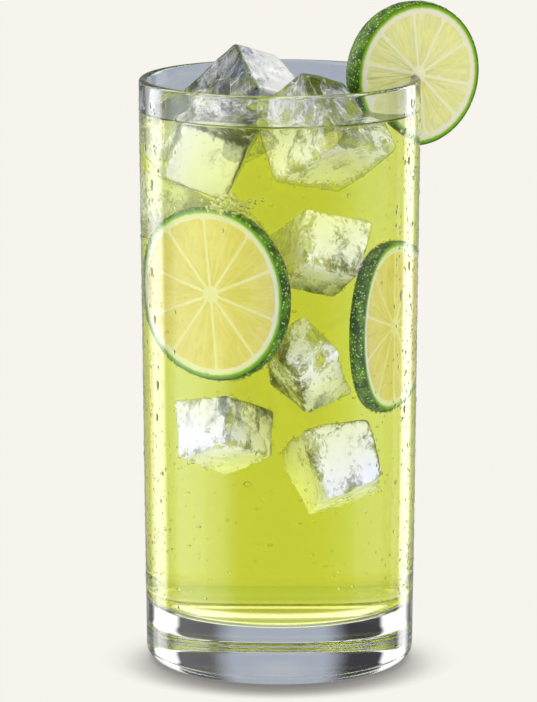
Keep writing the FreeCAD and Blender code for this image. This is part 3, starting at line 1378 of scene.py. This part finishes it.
@dataclass
class Drops:
    """Dew on the outside of the glass: many fine drops at the sides, some larger ones."""

    tumbler: Tumbler
    fine: int = 3700
    middling: int = 330
    fine_sizes: tuple[float, float] = (0.16, 0.34)
    middling_sizes: tuple[float, float] = (0.36, 0.60)
    share_at_sides: float = 0.94
    side_spread: float = 19.0
    run_down: float = 1.75
    sink: float = 0.05
    tallness: float = 0.9
    lowest: float = 19.0
    highest: float = 157.0
    look_back: int = 260
    seed: int = 11
    large: tuple[Triple, ...] = (
        (-65.0, 135.0, 0.95),
        (-66.5, 111.0, 0.80),
        (-64.0, 98.0, 0.75),
        (-62.0, 80.0, 0.85),
        (-63.0, 71.0, 0.70),
        (-72.0, 144.0, 0.85),
        (62.0, 149.5, 0.85),
        (68.0, 157.0, 0.75),
        (66.0, 141.5, 0.75),
        (68.0, 112.5, 0.80),
        (60.5, 105.0, 0.95),
        (65.0, 73.0, 0.70),
    )
    forms: tuple[DropForm, ...] = (
        DropForm(0.60, 18, ((0.0, 0.40), (0.45, 0.36), (0.82, 0.22), (1.0, 0.0))),
        DropForm(0.35, 10, ((0.0, 0.40), (0.45, 0.36), (0.82, 0.22), (1.0, 0.0))),
        DropForm(0.00, 6, ((0.0, 0.40), (0.62, 0.30), (1.0, 0.0))),
    )

    def spots(self) -> list[tuple[float, float, float, float]]:
        """Draws the drops: turn from the front in degrees, height, radius and stretch.

        Returns:
            The four values of each drop that has room.
        """
        draw = random.Random(self.seed)
        drops = [(turn, z, size, self.run_down) for turn, z, size in self.large]
        taken_up = [
            (math.radians(turn) * self.tumbler.outer(z), z, size * stretch)
            for turn, z, size, stretch in drops
        ]
        for sizes, count in ((self.middling_sizes, self.middling), (self.fine_sizes, self.fine)):
            for _ in range(count):
                turn = draw.choice((-90.0, 90.0))
                at_side = draw.random() < self.share_at_sides
                turn = turn + draw.gauss(0.0, self.side_spread) if at_side else draw.uniform(-180.0, 180.0)
                z = draw.uniform(self.lowest, self.highest)
                size = draw.uniform(*sizes)
                along = math.radians(turn) * self.tumbler.outer(z)
                near = taken_up[-self.look_back :]
                if all(math.hypot(along - a, z - b) > size * 1.2 + c for a, b, c in near):
                    drops.append((turn, z, size, 1.0 + 0.5 * draw.random()))
                    taken_up.append((along, z, size * 1.1))
        return drops

    def drop(self, turn: float, z: float, size: float, stretch: float) -> tuple[np.ndarray, Faces]:
        """Makes the closed skin of one drop: a dome on the wall over a flat back sunk into it.

        Args:
            turn: Degrees round from the front.
            z: Height of its middle in millimetres.
            size: Half its width in millimetres.
            stretch: How many times taller than wide it is.

        Returns:
            Vertex places in millimetres and the faces.
        """
        form = next(form for form in self.forms if size > form.above_mm)
        angle = math.radians(turn)
        out = Vector((math.sin(angle), -math.cos(angle), 0.0))
        across = Vector((math.cos(angle), math.sin(angle), 0.0))
        radius = self.tumbler.outer(z)
        points = []
        rings = [(reach, height * size * self.tallness) for reach, height in form.rings]
        for reach, lift in (*rings, (0.96, -self.sink)):
            for k in range(form.sides if reach > 0.0 else 1):
                spin = 2.0 * math.pi * k / form.sides
                side = reach * size * math.cos(spin)
                rise = reach * size * stretch * math.sin(spin)
                rise *= 1.0 - 0.18 * math.sin(spin)
                curve = math.sqrt(max(radius**2 - side**2, 0.0)) - radius
                spot = across * side + out * (self.tumbler.outer(z + rise) + curve + lift)
                points.append((spot.x, spot.y, z + rise))
        return np.array(points), self.skin(form)

    def skin(self, form: DropForm) -> Faces:
        """The faces of a drop.

        Args:
            form: How finely it is made.

        Returns:
            Its fan at the middle, its bands and its flat back.
        """
        turns = [(k, (k + 1) % form.sides) for k in range(form.sides)]
        faces: Faces = [(1 + k, 1 + n, 0) for k, n in turns]
        for level in range(len(form.rings) - 1):
            low, high = 1 + level * form.sides, 1 + (level + 1) * form.sides
            faces += [(low + k, high + k, high + n, low + n) for k, n in turns]
        last = 1 + (len(form.rings) - 1) * form.sides
        faces.append(tuple(last + k for k in range(form.sides))[::-1])
        return faces

    def build(self) -> bpy.types.Object:
        """Builds all the drops as one piece.

        Returns:
            The piece.
        """
        piece = gathered("dew_drops", (self.drop(*spot) for spot in self.spots()))
        sharpen(piece, 75.0)
        return fit_out(piece, WATER.material(), Slot.GLASS)


Bubble = tuple[np.ndarray, float]


@dataclass
class Bubbles:
    """Air bubbles in the tea: on the ice and the peel, in a cluster, and a few that rise alone."""

    tumbler: Tumbler
    level: float
    blocks: tuple[IceBlock, ...]
    wheels: tuple[LimeWheel, ...]
    on_each_block: int = 110
    on_each_wheel: int = 200
    in_cluster: int = 150
    cluster_middle: Triple = (-13.0, -25.0, 131.0)
    cluster_spread: Triple = (3.2, 2.2, 1.1)
    alone: int = 170
    ice_sizes: tuple[float, float] = (0.16, 0.42)
    peel_sizes: tuple[float, float] = (0.14, 0.36)
    cluster_sizes: tuple[float, float] = (0.3, 0.8)
    alone_sizes: tuple[float, float] = (0.15, 0.5)
    straight_from: float = 21.0
    gap: float = 0.08
    room: float = 0.1
    ice_room: float = 1.3
    seed: int = 23

    def clear(self, spot: np.ndarray, size: float) -> bool:
        """Whether a bubble lies wholly in the tea.

        Args:
            spot: Its place in millimetres.
            size: Its radius.

        Returns:
            True when wall, floor and surface are all clear of it.
        """
        wall = self.tumbler.inner(max(spot[2], self.straight_from)) - size - self.room
        low, high = self.tumbler.base + 1.0 + size, self.level - size - self.room
        return math.hypot(spot[0], spot[1]) < wall and low < spot[2] < high

    def outside(self, spot: np.ndarray, size: float) -> bool:
        """Whether a bubble is clear of every ice block.

        Args:
            spot: Its place in millimetres.
            size: Its radius.

        Returns:
            True when no block is near it.
        """
        for block in self.blocks:
            local = np.abs((spot - np.array(block.centre)) @ block.stand())
            if np.all(local < np.array(block.edges) * 0.5 + self.ice_room + size):
                return False
        return True

    def on_ice(self, draw: random.Random) -> Iterator[Bubble]:
        """Draws the bubbles that sit on the ice.

        Args:
            draw: Where the chances come from.

        Yields:
            The place and the radius of each, in millimetres.
        """
        for block in self.blocks:
            size = draw.uniform(*self.ice_sizes)
            skin = block.skin(self.gap + size)[0] / MM
            for _ in range(self.on_each_block):
                spot = skin[draw.randrange(len(skin))]
                if self.clear(spot, size):
                    yield spot, size * draw.uniform(0.55, 1.0)

    def on_peel(self, draw: random.Random) -> Iterator[Bubble]:
        """Draws the bubbles that sit on the peel of the wheels.

        Args:
            draw: Where the chances come from.

        Yields:
            The place and the radius of each, in millimetres.
        """
        for wheel in self.wheels:
            axes, centre = wheel.frame()
            for _ in range(self.on_each_wheel):
                size = draw.uniform(*self.peel_sizes)
                turn = draw.uniform(0.0, 2.0 * math.pi)
                z = draw.uniform(-0.48, 0.48) * wheel.thickness
                reach = float(wheel.edge(np.array(z))) + size * 0.8
                local = np.array([reach * math.cos(turn), reach * math.sin(turn), z])
                yield axes @ local + centre, size

    def clustered(self, draw: random.Random) -> Iterator[Bubble]:
        """Draws the bubbles caught over the left wheel.

        Args:
            draw: Where the chances come from.

        Yields:
            The place and the radius of each, in millimetres.
        """
        for _ in range(self.in_cluster):
            size = draw.uniform(*self.cluster_sizes)
            yield np.array([draw.gauss(*at) for at in zip(self.cluster_middle, self.cluster_spread)]), size

    def rising(self, draw: random.Random) -> Iterator[Bubble]:
        """Draws the bubbles that rise alone near the wall, more of them low down.

        Args:
            draw: Where the chances come from.

        Yields:
            The place and the radius of each, in millimetres.
        """
        for _ in range(self.alone):
            size = draw.uniform(*self.alone_sizes)
            turn = draw.uniform(-math.pi, math.pi)
            z = draw.choice((draw.uniform(18.0, 60.0), draw.uniform(18.0, 150.0)))
            reach = self.tumbler.inner(z) - size - draw.uniform(0.15, 3.0)
            yield np.array([reach * math.sin(turn), -reach * math.cos(turn), z]), size

    def spots(self) -> list[Bubble]:
        """Draws all the bubbles: place and radius in millimetres.

        Returns:
            The bubbles that have room.
        """
        draw = random.Random(self.seed)
        found = list(self.on_ice(draw))
        for kind in (self.on_peel, self.clustered, self.rising):
            found += [bubble for bubble in kind(draw) if self.clear(*bubble) and self.outside(*bubble)]
        return self.apart(found)

    def apart(self, found: list[Bubble]) -> list[Bubble]:
        """Leaves out each bubble that would touch one before it.

        Args:
            found: Places and radii.

        Returns:
            Those that stay.
        """
        kept: list[Bubble] = []
        centres = np.empty((0, 3))
        radii = np.empty(0)
        for spot, size in found:
            gaps = np.linalg.norm(centres - spot, axis=1) - radii - size
            if len(gaps) == 0 or gaps.min() > 0.02:
                kept.append((spot, size))
                centres = np.vstack([centres, spot])
                radii = np.append(radii, size)
        return kept

    def build(self) -> bpy.types.Object:
        """Builds all the bubbles as one piece.

        Returns:
            The piece.
        """
        ball = bmesh.new()
        bmesh.ops.create_icosphere(ball, subdivisions=2, radius=1.0)
        unit, faces = taken(ball)
        piece = gathered("bubbles", ((unit * size + spot, faces) for spot, size in self.spots()))
        return fit_out(piece, AIR_IN_TEA.material(), Slot.DRINK)


# ---------------------------------------------------------------- stage


@dataclass(frozen=True)
class Panel:
    """A patch of the studio's surroundings, in degrees off straight back and above the table."""

    off_from: float
    off_to: float
    up_from: float
    up_to: float
    colour: Colour
    soft: float = 2.0


# Seen through the bare glass of rim and base, by how far off straight back a direction is:
# a dark room with a blue-grey card behind, grey ones beside and lamps between and above.
BARE_GLASS = (
    Panel(-9.0, 189.0, -90.0, 90.0, (0.035, 0.035, 0.04)),
    Panel(-9.0, 17.0, -90.0, 40.0, (0.39, 0.43, 0.51), 11.0),
    Panel(-9.0, 6.0, 14.0, 40.0, (0.44, 0.47, 0.53), 8.0),
    Panel(76.0, 110.0, -90.0, 40.0, (0.46, 0.50, 0.56), 6.0),
    Panel(38.0, 62.0, -90.0, 60.0, (1.15, 1.16, 1.18), 4.0),
    Panel(-9.0, 189.0, 36.0, 90.0, (1.05, 1.06, 1.08), 6.0),
)

# Seen through glass and tea, alike at both sides, front and back: a bright green-white ground
# that is darker low down, with a cooler card, lamps at the sides and a light ceiling.
FILLED_GLASS = (
    Panel(-9.0, 99.0, -90.0, 90.0, (1.0, 1.0, 0.58)),
    Panel(13.0, 36.0, -16.0, 8.0, (1.06, 1.11, 1.35), 12.0),
    Panel(-9.0, 99.0, -90.0, -28.0, (0.72, 0.83, 0.45), 14.0),
    Panel(-9.0, 99.0, 14.0, 90.0, (1.8, 1.8, 1.8), 5.0),
    Panel(58.0, 99.0, -2.0, 90.0, (1.6, 1.6, 1.6), 4.0),
    Panel(-9.0, 45.0, 10.0, 34.0, (0.66, 0.66, 0.20), 8.0),
)

# Seen in what the glass mirrors, with left as minus: a dim room with tall lamps, whose bright
# middles make the white strips, and a light ceiling.
MIRRORED = (
    Panel(-189.0, 189.0, -90.0, 90.0, (0.30, 0.31, 0.33), 2.0),
    Panel(-136.0, -80.0, -60.0, 60.0, (2.0, 2.0, 2.05), 22.0),
    Panel(-66.0, -38.0, -60.0, 60.0, (2.1, 2.1, 2.1), 10.0),
    Panel(-65.0, -48.0, -60.0, 60.0, (4.5, 4.5, 4.7), 9.0),
    Panel(32.0, 54.0, -60.0, 60.0, (2.0, 2.0, 2.0), 10.0),
    Panel(38.0, 54.0, -60.0, 60.0, (4.6, 4.6, 4.8), 9.0),
    Panel(-189.0, 189.0, 50.0, 90.0, (1.3, 1.3, 1.32), 5.0),
)


@dataclass
class Studio:
    """The lit surroundings: even for matt things, in panels for clear and glossy ones.

    What is seen through the bare glass of the base and the rim has darker panels than what
    is seen through the filled glass. Matt things in the drink get as much light as makes up
    for the skins that it passes on its way in and out.
    """

    base: Colour = (1.0, 0.99, 0.97)
    sunk: Colour = (3.25, 3.3, 5.0)
    bare_skins: float = 4.5

    def build(self) -> None:
        """Makes the world."""
        world = bpy.data.worlds.new("studio")
        bpy.context.scene.world = world
        world.use_nodes = True
        made = Nodes(world.node_tree)
        out = made.add("ShaderNodeOutputWorld")
        place = made.add("ShaderNodeTexCoord")
        parts = made.add("ShaderNodeSeparateXYZ")
        made.link(place.outputs["Generated"], parts.inputs[0])
        degrees = 180.0 / math.pi
        up = made.maths("MULTIPLY", made.maths("ARCSINE", parts.outputs[2]), degrees)
        off = made.maths("MULTIPLY", made.maths("ARCTAN2", parts.outputs[0], parts.outputs[1]), degrees)
        sideways, along = (made.maths("ABSOLUTE", parts.outputs[i]) for i in (0, 1))
        folded = made.maths("MULTIPLY", made.maths("ARCTAN2", sideways, along), degrees)
        path = made.add("ShaderNodeLightPath")
        bare = self.panels(made, BARE_GLASS, made.maths("ABSOLUTE", off), up)
        filled = self.panels(made, FILLED_GLASS, folded, up)
        mirrored = self.panels(made, MIRRORED, off, up)
        skins = made.maths("GREATER_THAN", path.outputs["Transmission Depth"], self.bare_skins)
        seen = made.mix(path.outputs["Is Glossy Ray"], self.base, mirrored)
        seen = made.mix(path.outputs["Is Transmission Ray"], seen, made.mix(skins, bare, filled))
        matt = made.maths("GREATER_THAN", path.outputs["Diffuse Depth"], 0.5)
        seen = made.mix(matt, seen, made.mix(skins, self.base, self.sunk))
        back = made.add("ShaderNodeBackground", Strength=1.0)
        made.link(seen, back.inputs["Color"])
        made.link(back.outputs[0], out.inputs["Surface"])

    def panels(self, made: Nodes, panels: tuple[Panel, ...], off: Socket, up: Socket) -> Socket:
        """Lays panels over an even ground.

        Args:
            made: Where the nodes go.
            panels: The panels, later ones on top.
            off: Direction in degrees, from straight back to the right, or away from back or front.
            up: Height of the direction in degrees.

        Returns:
            The colour socket.
        """
        colour: object = self.base
        for panel in panels:
            tall = self.between(made, up, panel.up_from, panel.up_to, panel.soft)
            wide = self.between(made, off, panel.off_from, panel.off_to, panel.soft)
            colour = made.mix(made.maths("MULTIPLY", tall, wide), colour, panel.colour)
        return colour

    def between(self, made: Nodes, value: Socket, low: float, high: float, soft: float) -> Socket:
        """A soft-edged mask of the stretch from low to high.

        Args:
            made: Where the nodes go.
            value: What is measured.
            low: Where the stretch begins.
            high: Where it ends.
            soft: Width of its soft edges.

        Returns:
            The mask's socket.
        """
        edge = soft / 2.0
        begun = made.reach(value, low - edge, low + edge)
        not_over = made.reach(value, high + edge, high - edge)
        return made.maths("MULTIPLY", begun, not_over)


@dataclass
class Stage:
    """Floor, light and camera."""

    colour: Colour = (0.930, 0.896, 0.847)
    half_width: float = 6.0
    shadow_reach_mm: float = 14.0
    shadow_lean: Triple = (0.0, 0.90, 0.44)
    shadow_steps: tuple[tuple[float, float], ...] = ((0.0, 0.10), (0.5, 0.36), (0.85, 0.90), (1.0, 1.0))
    focal_length_mm: float = 259.30
    camera_place: Triple = (-0.003074, -1.3681, 0.34692)
    camera_down_deg: float = 10.798

    def build(self) -> None:
        """Sets up the floor, the world and the camera."""
        self.floor()
        Studio().build()
        self.camera()

    def floor(self) -> None:
        """A wide pale floor; camera rays see its colour emitted, with a painted shadow close to what stands
        on it.
        """
        half = self.half_width
        corners = [(-half, -half, 0.0), (half, -half, 0.0), (half, half, 0.0), (-half, half, 0.0)]
        piece = mesh_object("floor", np.array(corners), [(0, 1, 2, 3)])
        made = Finish("pale_floor")
        matt = made.add("ShaderNodeBsdfDiffuse", Color=(*self.colour, 1.0))
        # Painted shadow: ambient occlusion, leaned towards the back, darkens the emitted colour close to the
        # foot, most in front of it.
        near = made.add("ShaderNodeAmbientOcclusion", samples=24, Distance=self.shadow_reach_mm * MM)
        lean = made.add("ShaderNodeCombineXYZ", **dict(zip("XYZ", self.shadow_lean)))
        made.link(lean.outputs[0], near.inputs["Normal"])
        painted_shading = made.ramp(near.outputs["AO"], [(at, (grey,) * 3) for at, grey in self.shadow_steps])
        # The camera sees this emitted colour with the painted shadow; all other rays see the plain matt
        # floor.
        plain = made.add("ShaderNodeEmission", Strength=1.0)
        made.link(made.mix(1.0, self.colour, painted_shading, "MULTIPLY"), plain.inputs["Color"])
        path = made.add("ShaderNodeLightPath")
        both = made.add("ShaderNodeMixShader")
        made.link(path.outputs["Is Camera Ray"], both.inputs[0])
        made.link(matt.outputs[0], both.inputs[1])
        made.link(plain.outputs[0], both.inputs[2])
        made.surface(both)
        piece.data.materials.append(made.material)
        piece.visible_transmission = False
        piece.visible_glossy = False
        piece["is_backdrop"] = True

    def camera(self) -> None:
        """The camera, a little above the rim and far off."""
        lens = bpy.data.cameras.new("camera")
        lens.lens = self.focal_length_mm
        lens.sensor_width = 36.0
        lens.clip_end = 50.0
        view = bpy.data.objects.new("camera", lens)
        bpy.context.scene.collection.objects.link(view)
        view.location = self.camera_place
        view.rotation_euler = (math.radians(90.0 - self.camera_down_deg), 0.0, 0.0)
        bpy.context.scene.camera = view


def set_paths() -> None:
    """Lets light pass through the many clear layers of a full glass."""
    cycles = bpy.context.scene.cycles
    cycles.max_bounces = 32
    cycles.transmission_bounces = 32
    cycles.glossy_bounces = 12
    cycles.diffuse_bounces = 6
    cycles.volume_bounces = 0


def note_sizes() -> None:
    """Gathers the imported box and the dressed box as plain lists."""
    boxes = {"cad": CAD_BOX, "visual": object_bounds()}
    plain = {name: [list(map(float, corner)) for corner in box] for name, box in boxes.items()}


def report(piece: bpy.types.Object) -> None:
    """Logs a finished piece."""
    LOG.info("%s: %d faces", piece.name, len(piece.data.polygons))


def main() -> None:
    """Builds and dresses every piece in order."""
    logging.basicConfig(level=logging.INFO, format="%(name)s: %(message)s")
    bpy.context.scene.view_settings.view_transform = "Standard"
    set_paths()
    Stage().build()
    tumbler = Tumbler()
    report(tumbler.build())
    report(Garnish(tumbler).build())
    sunk_limes = SunkLimes()
    report(sunk_limes.build())
    ice = Ice()
    for piece in ice.build():
        report(piece)
    tea = Tea(tumbler)
    report(tea.build(ice.pockets()))
    report(Bubbles(tumbler, tea.level, (*ice.floating, *ice.sunk), sunk_limes.wheels).build())
    report(Drops(tumbler).build())
    note_sizes()


if __name__ == "__main__":
    main()
